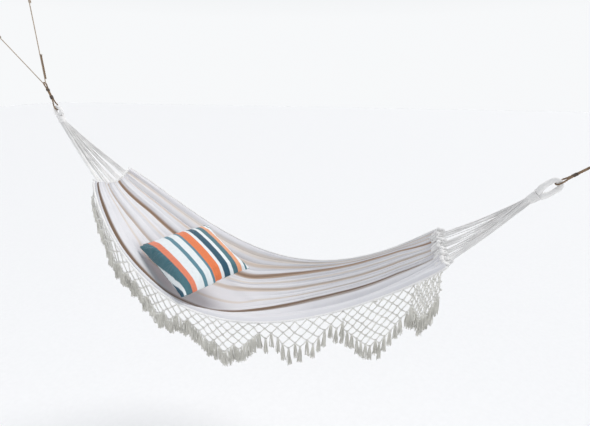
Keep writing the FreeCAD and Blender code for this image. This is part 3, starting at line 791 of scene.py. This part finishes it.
class Flap:
    """One pointed flap of net on the front or rear hem."""

    def __init__(self, edge, number):
        self.edge = edge
        self.number = number
        self.side = -1 if edge == "front" else 1
        self.body = f"{edge}_flap_{number}"
        hinge = joint(f"{edge}_sway_{number}")
        self.start = Vector(hinge["pos_m"])
        self.way = Vector(hinge["axis"])
        ends = [flap[0] for flap in FLAPS] + [FRINGE_END]
        self.shares = ends[number - 1], ends[number]
        self.side_depth, self.point_depth = FLAPS[number - 1][1:]
        self.length = (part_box(f"{edge}_net_{number}")[1].x - self.start.x) / self.way.x + 0.007
        self.bend = random.uniform(0.4, 1.0)

    def contour(self, share):
        """How deep the net hangs at a share of the flap's length."""
        return self.side_depth + (self.point_depth - self.side_depth) * (1 - abs(2 * share - 1)) ** 0.9

    def place(self, share, depth):
        """A point of the net: at the hem at no depth, and in the flap's upright plane further down."""
        hem = Vector(hem_at(self.side, self.shares[0] + (self.shares[1] - self.shares[0]) * share))
        hem.z -= HEM_RADIUS
        chord = self.start + self.way * (self.length * share)
        blend = min(1.0, depth / 0.04)
        top = hem.lerp(Vector((chord.x, chord.y, hem.z)), 0.35 * blend)
        ripple = 0.006 * math.sin(share * 9 + self.number) * min(1, depth / 0.06)
        billow = self.side * (0.004 * self.bend * math.sin(math.pi * min(1, depth / 0.2)) + ripple)
        return top + Vector((0, billow, -depth))


def net(flap, paint):
    """Doubled cords knotted into diamonds, and the lowest knot of each column, where the tassels hang."""
    yarns = Yarns()
    pitch = flap.length / COLUMNS
    row_height = min(0.030, max(0.022, pitch * 0.5))
    rows = int(flap.point_depth / row_height) + 1
    nodes = {}
    for row in range(rows + 1):
        depth = row * row_height
        for column in range(COLUMNS + 1 - row % 2):
            share = (column + 0.5 * (row % 2)) / COLUMNS
            if depth <= flap.contour(share) + 0.3 * row_height:
                jitter = Vector([random.uniform(-1, 1) for _ in range(3)]) * 0.003
                nodes[(row, column)] = flap.place(share, depth) + (jitter if row else Vector())
    for (row, column), place in nodes.items():
        for key in ((row + 1, column - 1 + row % 2), (row + 1, column + row % 2)):
            if key not in nodes:
                continue
            end = nodes[key]
            middle = place.lerp(end, 0.5) + Vector((0, random.uniform(-0.001, 0.001), -0.0016))
            path = spread(spline_line("mesh_side", (place, middle, end)), 0.0035)
            yarns.tube(path, 0.0033, 8, lobes=2, lay=0.026, depth=0.36)
        yarns.knot(place if row else place + UP * 0.002, 0.0078, (0, 0, 1) if row else (1, 0, 0))
    lowest = {}
    for (row, column), place in nodes.items():
        lowest[2 * column + row % 2] = place
    made = yarns.piece(f"{flap.edge}_mesh_{flap.number}", paint, node=f"{flap.edge}_net_{flap.number}")
    square = flap.way.cross(Vector((0, flap.side, 0))).normalized()
    square = square if square.z < 0 else -square
    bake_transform(made)
    return made, [lowest[key] for key in sorted(lowest)]


def tassels(flap, hanging, paint):
    """Loose yarn hung in bunches from the net's lower knots and from the cords between them."""
    yarns = Yarns()
    apart = flap.number > 3
    between = [] if apart else [a.lerp(b, 0.5) - UP * 0.002 for a, b in zip(hanging, hanging[1:])]
    for place in hanging + between:
        yarns.knot(place - UP * 0.004, 0.0062, (0, 0, 1))
        length = TASSEL * random.uniform(0.82, 1.0)
        lean = Vector((random.uniform(-1, 1), random.uniform(-1, 1), 0)) * 0.006
        for _ in range(YARNS + 5 * apart):
            angle = random.uniform(0, 2 * math.pi)
            reach = 0.0135 * math.sqrt(random.random())
            flare = Vector((math.cos(angle) * reach, math.sin(angle) * reach * 0.6, 0))
            wave = random.uniform(0.0006, 0.0026)
            phase = random.uniform(0, 6)
            drop = length * random.uniform(0.86, 1.0)
            path = [place - UP * (0.005 + drop * s) + flare * (0.2 + 0.8 * s ** 0.6) + lean * s
                    + Vector((math.sin(phase + s * 7), math.cos(phase + s * 5), 0)) * (wave * s)
                    for s in np.linspace(0, 1, 7)]
            yarns.tube(np.array(path), 0.00155, 5)
    return yarns.piece(f"{flap.edge}_yarns_{flap.number}", paint, flap.body,
                       f"{flap.edge}_tassels_{flap.number}")


# ---------------------------------------------------------------- ropes

def route_line(start, end):
    """A taut rope's length, and a function for points on it, offset sideways along Y."""
    reach = (end - start).length
    way = (end - start).normalized()
    return reach, lambda s, side=0.0: start + way * s + ACROSS * side


def bight(at, s, outward, side, strand, radius, neck):
    """The corners of a loop round something at s, from the strand on one side, round it and back."""
    together = s - outward * neck
    apart = s - outward * 0.9 * radius
    tip = s + outward * radius
    return [at(together, side * strand), at(apart, side * radius), at(tip, side * radius),
            at(tip, -side * radius), at(apart, -side * radius), at(together, -side * strand)]


def doubled_route(start, end, rope, low, high, ends_at, necks):
    """A rope round the eye loop at its start and its anchor at its end, its own ends meeting at ends_at."""
    reach, at = route_line(start, end)
    strand = rope + 0.0002
    gap = 1.4 * rope
    return ([at(ends_at - gap, -strand)] + bight(at, 0, -1, -1, strand, low, necks[0])
            + bight(at, reach, 1, 1, strand, high, necks[1]) + [at(ends_at + gap, -strand)])


SLACK = 0.0015
ROPE = 0.0045
SLING = 0.004
BRIDLE = 0.003
FIBRES = 40
KNOT = Vector((-2.911, 0, 0.278))
RINGS = {"right_hook": Vector((-0.032, 0, 0)), "upper_hook": Vector((-2.905, 0, 0.762)),
         "outer_hook": Vector((-3.202, 0, 0.578))}
BIG_RING, BIG_WIRE, SMALL_RING, SMALL_WIRE = 0.020, 0.0043, 0.014, 0.0032


def grip(ring, pull_from, radius):
    """Where a ring's wire is, on the side that the rope pulls it from."""
    return RINGS[ring] + (pull_from - RINGS[ring]).normalized() * radius


def rope_piece(name, points, radius, lay, paint, body, node):
    """A three-strand rope along a smooth route, and its centre line."""
    path = spread(spline_line(name, points), radius * 0.56)
    yarns = Yarns()
    yarns.laid(path, 2 * radius, 3, lay)
    return yarns.piece(name, paint, body, node), path


def whipping(name, start, end, middle, length, rope, thick, paint, body, node):
    """Turns of twine round two strands that lie side by side."""
    at = route_line(start, end)[1]
    way = (end - start).normalized()
    flat = way.cross(ACROSS)
    turns = int(length / (thick * 1.02))
    angle = np.linspace(0, 2 * math.pi * turns, turns * 18)
    grown = rope + thick / 2
    sideways = np.sign(np.cos(angle)) * np.abs(np.cos(angle)) ** 0.35 * rope + np.cos(angle) * grown
    upward = np.sin(angle) * grown
    along = middle - length / 2 + thick / 2 + (length - thick) * angle / angle[-1]
    path = np.array([at(s) + ACROSS * a + flat * u for s, a, u in zip(along, sideways, upward)])
    yarns = Yarns()
    yarns.tube(path, thick / 2, 7, lobes=2, lay=thick * 3, depth=0.15)
    return yarns.piece(name, paint, body, node)


def hemp_sling(name, ends, holds, radius, meets, necks, lay, bindings, paints):
    """A doubled hemp rope from an eye loop to its anchor, and the whippings that bind it.
    holds has the radii of what it goes round, meets is how far along its own ends meet, and each
    binding has its name, its middle, its length and its twine's thickness."""
    start, end = ends
    hemp, twine = paints
    low, high = [hold + SLACK + radius for hold in holds]
    route = doubled_route(start, end, radius, low, high, meets, necks)
    rope, path = rope_piece(name + "_hemp_rope", route, radius, lay, hemp, "ropes", name + "_rope")
    for place, middle, bound_length, thick in bindings:
        whipping(f"{name}_{place}_whipping", start, end, middle, bound_length, radius, thick,
                              twine, "ropes", f"{name}_{place}_seizing")


def hanging_ropes(paints):
    """The brown ropes at both ends, each round its eye loop and its anchor."""
    right, left = ENDS
    hook = grip("right_hook", right.pivot, BIG_RING)
    meets = (hook - right.pivot).length - 0.051
    bindings = (("inner", 0.064, 0.022, 0.0026), ("outer", meets, 0.026, 0.0026))
    hemp_sling("right", (right.pivot, hook), (right.eye_thick, BIG_WIRE), ROPE, meets, necks=(0.040, 0.028),
               lay=0.034, bindings=bindings, paints=paints)
    upper = (KNOT - left.pivot).length - 0.034
    bindings = (("lower", 0.057, 0.022, 0.0032), ("upper", upper, 0.014, 0.0034))
    hemp_sling("left", (left.pivot, KNOT), (left.eye_thick, BRIDLE), SLING, 0.057, necks=(0.034, 0.020),
               lay=0.03, bindings=bindings, paints=paints)


def bridle(pale, hemp, twine):
    """The thin cord in a V above the left end, and the brown rope's loose end that lies along it."""
    strand = BRIDLE + 0.0002
    hold = SMALL_WIRE + SLACK + BRIDLE
    bend = SLING + SLACK + BRIDLE
    upper_grip = grip("upper_hook", KNOT, SMALL_RING)
    outer_grip = grip("outer_hook", KNOT, SMALL_RING)
    up_reach, up = route_line(KNOT, upper_grip)
    out_reach, out = route_line(KNOT, outer_grip)
    up_way = (upper_grip - KNOT).normalized()
    out_way = (outer_grip - KNOT).normalized()
    half_turn = (math.pi - up_way.angle(out_way)) / 4
    foot = (up_way - out_way).normalized() * (bend * math.tan(half_turn) * 1.02)
    tail = 0.056
    upper_bight = bight(up, up_reach, 1, -1, strand, hold, 0.032)[::-1]
    outer_bight = bight(out, out_reach, 1, -1, strand, hold, 0.032)
    near = 0.036
    up_foot = KNOT + foot
    out_foot = KNOT - foot
    leg_way = (upper_bight[-1] - up_foot).normalized()
    other_way = (outer_bight[0] - out_foot).normalized()
    route = ([up(up_reach - tail, strand)] + upper_bight + [up_foot + leg_way * near, up_foot]
             + [out_foot, out_foot + other_way * near] + outer_bight + [out(out_reach - tail, strand)])
    cord, path = rope_piece("bridle_line", route, BRIDLE, 0.02, pale, "anchors", "bridle_cord")
    for name, leg_end, reach in (("upper", upper_grip, up_reach), ("outer", outer_grip, out_reach)):
        whipping(name + "_whipping", KNOT, leg_end, reach - tail + 0.008, 0.020, BRIDLE, 0.0022,
                              twine, "anchors", name + "_seizing")
    beside = Vector((BRIDLE + SLING + 0.0006, 0, 0))
    steps = np.linspace(0.026, 0.146, 30)
    path = np.array([up_foot + leg_way * s + beside for s in steps])
    yarns = Yarns()
    yarns.laid(path, 2 * SLING, 3, 0.03)
    loose = yarns.piece("hemp_tail", hemp, "anchors", "rope_tail")
    fibres = Yarns()
    for _ in range(FIBRES):
        root = Vector(path[-1]) + Vector((random.uniform(-1, 1), random.uniform(-1, 1), -1.5)) * 0.0025
        aside = Vector((random.uniform(-1, 1), random.uniform(-1, 1), 0)) * 0.006
        tip = root + leg_way * random.uniform(0.008, 0.016) + aside
        fibres.tube(np.array([root, root.lerp(tip, 0.5) + leg_way * 0.002, tip]), 0.0004, 4)
    fray = fibres.piece("hemp_fray", hemp, "anchors")


# ---------------------------------------------------------------- pillow

def pillow_form():
    """Two square panels sewn round their edges, a little smaller and flatter than the filled pillow."""
    count = 33
    half = PILLOW_SIDE / 2 - 0.006
    u, v = np.meshgrid(np.linspace(-1, 1, count), np.linspace(-1, 1, count), indexing="ij")
    drawn = np.where(v < 0, 0.015, 0.05)
    x = u * np.where(u < 0, PILLOW_SIDE / 2 - 0.001, half * (1 - drawn * (1 - v ** 2)))
    y = half * v * (1 - drawn * (1 - u ** 2))
    crown = PILLOW_HEIGHT / 2 * ((1 - u ** 2) * (1 - v ** 2)) ** PILLOW_CROWN
    belly = crown * (1 + 0.5 * np.clip(-2 * v - 1, 0, 1))
    points = []
    faces = []
    for sign, height in ((1, crown), (-1, belly)):
        base = len(points)
        points += np.stack([x, y, sign * (height + 0.002)], -1).reshape(-1, 3).tolist()
        for i in range(count - 1):
            for j in range(count - 1):
                quad = [base + i * count + j, base + (i + 1) * count + j, base + (i + 1) * count + j + 1,
                        base + i * count + j + 1]
                faces.append(quad if sign > 0 else quad[::-1])
    rim = ([(i, 0) for i in range(count)] + [(count - 1, j) for j in range(1, count)]
           + [(i, count - 1) for i in range(count - 2, -1, -1)] + [(0, j) for j in range(count - 2, 0, -1)])
    ring = [i * count + j for i, j in rim]
    below = count * count
    for a, b in zip(ring, ring[1:] + ring[:1]):
        faces.append([a, below + a, below + b, b])
    return mesh_object("pillow_case", points, faces)


def apply_modifiers(obj):
    """Makes what the modifiers show the mesh itself."""
    graph = bpy.context.evaluated_depsgraph_get()
    mesh = bpy.data.meshes.new_from_object(obj.evaluated_get(graph))
    obj.modifiers.clear()
    obj.data = mesh


def inflate(obj, most):
    """Blows the case up as cloth, with its zip side held straight, and caps how far any point moves."""
    start = np.array([v.co for v in obj.data.vertices])
    held = obj.vertex_groups.new(name="zip_side")
    still = [i for i, p in enumerate(start) if p[0] < -PILLOW_SIDE / 2 + 0.008]
    held.add(still, 1.0, "REPLACE")
    cloth = obj.modifiers.new("air", "CLOTH")
    cloth.settings.vertex_group_mass = "zip_side"
    cloth.settings.effector_weights.gravity = 0
    cloth.settings.use_pressure = True
    cloth.settings.uniform_pressure_force = 4
    cloth.settings.quality = 5
    cloth.settings.tension_stiffness = 12
    cloth.settings.compression_stiffness = 12
    cloth.settings.bending_stiffness = 0.4
    for step in range(1, 21):
        bpy.context.scene.frame_set(step)
    graph = bpy.context.evaluated_depsgraph_get()
    blown = np.array([v.co for v in obj.evaluated_get(graph).data.vertices])
    obj.modifiers.clear()
    bpy.context.scene.frame_set(1)
    moved = blown - start
    far = np.linalg.norm(moved, axis=1)
    keep = np.minimum(1, most / np.maximum(far, 1e-9))
    obj.data.vertices.foreach_set("co", (start + moved * keep[:, None]).ravel())
    obj.vertex_groups.clear()


def pillow(paint, tape_paint, teeth_paint):
    """The filled case with its puckered edges, its seam and its zip."""
    case = pillow_form()
    remesh = case.modifiers.new("even", "REMESH")
    remesh.mode = "VOXEL"
    remesh.voxel_size = 0.0055
    apply_modifiers(case)
    inflate(case, 0.014)
    finer = case.modifiers.new("finer", "SUBSURF")
    finer.levels = finer.render_levels = 1
    apply_modifiers(case)
    mesh = case.data
    points = np.array([v.co for v in mesh.vertices])
    reach = np.maximum(np.abs(points[:, 0]), np.abs(points[:, 1])) / (PILLOW_SIDE / 2)
    edge = np.clip((reach - 0.45) / 0.5, 0, 1)
    angle = np.arctan2(points[:, 1], points[:, 0])
    seam_fade = 1 - np.clip((reach - 0.93) / 0.05, 0, 1)
    pucker = np.sin(angle * 44 + np.sin(angle * 9) * 2) * 0.0011 * edge * seam_fade
    points[:, 2] += np.sign(points[:, 2]) * pucker
    mesh.vertices.foreach_set("co", points.ravel())
    mesh.uv_layers.new(name="cloth")
    map_flat(mesh)
    mesh.polygons.foreach_set("use_smooth", [True] * len(mesh.polygons))
    mesh.materials.append(paint)
    mesh.transform(PILLOW_PLACE)
    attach(case, "pillow")
    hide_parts("pillow_cover", "pillow_insert")
    seam_line(points, paint)
    zip_strip(tape_paint, teeth_paint)


def map_flat(mesh):
    """Maps a mesh in the pillow's own frame straight down, in metres."""
    points = np.array([v.co for v in mesh.vertices])
    corners = np.empty(len(mesh.loops), np.int32)
    mesh.loops.foreach_get("vertex_index", corners)
    mesh.uv_layers[0].data.foreach_set("uv", points[corners][:, :2].astype(np.float32).ravel())


def seam_line(points, paint):
    """The sewn edge, as a thin raised seam that follows the case's outline."""
    flat = points[np.abs(points[:, 2]) < 0.006]
    angle = np.arctan2(flat[:, 1], flat[:, 0])
    outline = []
    for step in np.linspace(-math.pi, math.pi, 180, endpoint=False):
        gap = np.abs((angle - step + math.pi) % (2 * math.pi) - math.pi)
        near = flat[gap < 0.03]
        best = near[np.argmax(np.hypot(near[:, 0], near[:, 1]))]
        outline.append((best[0], best[1], 0.0))
    outline = np.array(outline + outline[:1])
    yarns = Yarns()
    yarns.tube(spread(outline, 0.004), 0.0017, 8, lobes=2, lay=0.006, depth=0.15)
    seam = yarns.piece("pillow_seam", paint)
    map_flat(seam.data)
    seam.data.transform(PILLOW_PLACE)
    tag(seam, "pillow")


def box_faces(low, high):
    corners = [(x, y, z) for x in (low[0], high[0]) for y in (low[1], high[1]) for z in (low[2], high[2])]
    faces = [(0, 1, 3, 2), (4, 6, 7, 5), (0, 4, 5, 1), (2, 3, 7, 6), (0, 2, 6, 4), (1, 5, 7, 3)]
    return corners, faces


def block_piece(name, boxes, bevel, paint, body, node=None):
    """Several rounded blocks as one mesh, given in the pillow's own frame."""
    points = []
    faces = []
    for low, high in boxes:
        corners, quads = box_faces(low, high)
        faces += [[len(points) + i for i in quad] for quad in quads]
        points += corners
    obj = mesh_object(name, points, faces, paint)
    obj.data.transform(PILLOW_PLACE)
    rounded = obj.modifiers.new("rounded", "BEVEL")
    rounded.width = bevel
    rounded.segments = 2
    tag(obj, body, node)


def zip_strip(tape_paint, teeth_paint):
    """The zip along the pillow's hidden edge: two tapes, two rows of teeth and a slider with its pull."""
    face = -PILLOW_SIDE / 2
    half = 0.2
    strips = [((face - 0.0012, -half, low), (face, half, low + 0.0042)) for low in (-0.0045, 0.0003)]
    block_piece("zip_tapes", strips, 0.0003, tape_paint, "pillow", "pillow_zip")
    pitch = 0.0028
    rows = []
    for k in range(int(2 * (half - 0.004) / pitch)):
        y = -half + 0.004 + k * pitch
        low = -0.0016 if k % 2 else -0.0004
        rows.append(((face - 0.0021, y, low), (face - 0.0009, y + 0.0017, low + 0.002)))
    block_piece("zip_teeth", rows, 0.00025, teeth_paint, "pillow")
    start = -half + 0.010
    outer = face - 0.0063
    body = ((outer + 0.0022, start, -0.0034), (face - 0.0024, start + 0.012, 0.0034))
    bridge = ((outer + 0.0012, start + 0.004, -0.0008), (outer + 0.0024, start + 0.008, 0.0008))
    pull = ((outer, start - 0.006, -0.0022), (outer + 0.0012, start + 0.008, 0.0022))
    block_piece("zip_runner", (body, bridge, pull), 0.0006, teeth_paint, "slider", "zip_slider")


# ---------------------------------------------------------------- stage

FLOOR_DROP = 0.95
FLOOR_REACH = 30.0
# The camera looks at the hammock from a little to the right of square on, and down at it
CAMERA_PLACE = (-0.973, -1.971, 0.328)
CAMERA_AROUND = math.radians(13.6)
CAMERA_DOWN = math.radians(19.2)
CAMERA_LENS = 24.22


def stage():
    """A plain pale floor, soft light and the camera."""
    bpy.context.scene.view_settings.view_transform = "Standard"
    bpy.context.scene.view_settings.exposure = 0.15
    low = CAD_BOX[0].z - FLOOR_DROP
    middle_x = (CAD_BOX[0].x + CAD_BOX[1].x) / 2
    corners = [(middle_x + sx * FLOOR_REACH, sy * FLOOR_REACH, low)
               for sx, sy in ((-1, -1), (1, -1), (1, 1), (-1, 1))]
    mesh_object("floor", corners, [(0, 1, 2, 3)], floor_paint())
    world = bpy.data.worlds.new("studio")
    bpy.context.scene.world = world
    world.use_nodes = True
    tree = world.node_tree
    up = tree.nodes.new("ShaderNodeSeparateXYZ")
    ramp = tree.nodes.new("ShaderNodeValToRGB")
    tree.links.new(tree.nodes.new("ShaderNodeTexCoord").outputs["Generated"], up.inputs["Vector"])
    tree.links.new(up.outputs["Z"], ramp.inputs["Fac"])
    tree.links.new(ramp.outputs["Color"], tree.nodes["Background"].inputs["Color"])
    ramp.color_ramp.elements[0].color = (0.84, 0.85, 0.86, 1)
    ramp.color_ramp.elements[1].color = (0.42, 0.44, 0.47, 1)
    ramp.color_ramp.elements[0].position = 0.12
    ramp.color_ramp.elements[1].position = 0.7
    sun = bpy.data.lights.new("sun", "SUN")
    sun.energy = 1.75
    sun.angle = math.radians(38)
    sun.color = (1.0, 0.985, 0.965)
    high_lamp = link(bpy.data.objects.new("sun", sun))
    high_lamp.rotation_euler = Vector((0.45, 0.55, 1.0)).to_track_quat("Z", "Y").to_euler()
    fill = bpy.data.lights.new("fill", "AREA")
    fill.size = 2.5
    fill.energy = 12
    fill.color = (0.95, 0.97, 1.0)
    low_lamp = link(bpy.data.objects.new("fill", fill))
    low_lamp.location = (-1.6, -3.4, 1.4)
    aim = Vector((middle_x, 0, -0.5)) - low_lamp.location
    low_lamp.rotation_euler = aim.to_track_quat("-Z", "Y").to_euler()
    lens = bpy.data.cameras.new("camera")
    lens.sensor_width = 36
    lens.lens = CAMERA_LENS
    camera = link(bpy.data.objects.new("camera", lens))
    camera.location = CAMERA_PLACE
    level = math.cos(CAMERA_DOWN)
    back = Vector((math.sin(CAMERA_AROUND) * level, -math.cos(CAMERA_AROUND) * level, math.sin(CAMERA_DOWN)))
    camera.rotation_euler = back.to_track_quat("Z", "Y").to_euler()
    bpy.context.scene.camera = camera


def screw_eyes(paint):
    """The CAD's own screw eyes, in plated steel."""
    for node in RINGS:
        mesh = frame["nodes"][node].data
        mesh.materials.clear()
        mesh.materials.append(paint)


# ---------------------------------------------------------------- the whole hammock

cotton_cord = yarn_paint("cotton_cord", (0.90, 0.89, 0.88), (0.72, 0.71, 0.70))
net_cord = yarn_paint("net_cord", (0.86, 0.85, 0.81), (0.62, 0.605, 0.56))
tassel_yarn = yarn_paint("tassel_yarn", (0.78, 0.765, 0.71), (0.5, 0.485, 0.435))
hemp_rope = yarn_paint("hemp_rope", (0.3, 0.2, 0.12), (0.13, 0.085, 0.05), sheen=0.15, patches=40.0)
dark_twine = yarn_paint("dark_twine", (0.14, 0.1, 0.075), (0.055, 0.04, 0.03), sheen=0.1, patches=60.0)
pale_twine = yarn_paint("pale_twine", (0.55, 0.46, 0.37), (0.36, 0.29, 0.22), sheen=0.2, patches=40.0)
zip_tape = yarn_paint("zip_tape", (0.1, 0.22, 0.27), (0.06, 0.14, 0.18), sheen=0.1, patches=80.0)
plated = metal_paint("plated_steel")

cloth = bed_cloth(cloth_paint())
trims = hems(cotton_cord)
for end in ENDS:
    eye_loop(end, cotton_cord)
    neck_wrap(end, cotton_cord)
    cord_fan(end, cotton_cord)
    trims.append(end_band(end, cotton_cord))
fringe = []
for edge in ("front", "rear"):
    for number in range(1, len(FLAPS) + 1):
        flap = Flap(edge, number)
        mesh, hanging = net(flap, net_cord)
        fringe += [mesh, tassels(flap, hanging, tassel_yarn)]
hanging_ropes((hemp_rope, dark_twine))
bridle(pale_twine, hemp_rope, pale_twine)
pillow(pillow_paint(), zip_tape, plated)
screw_eyes(plated)
stage()
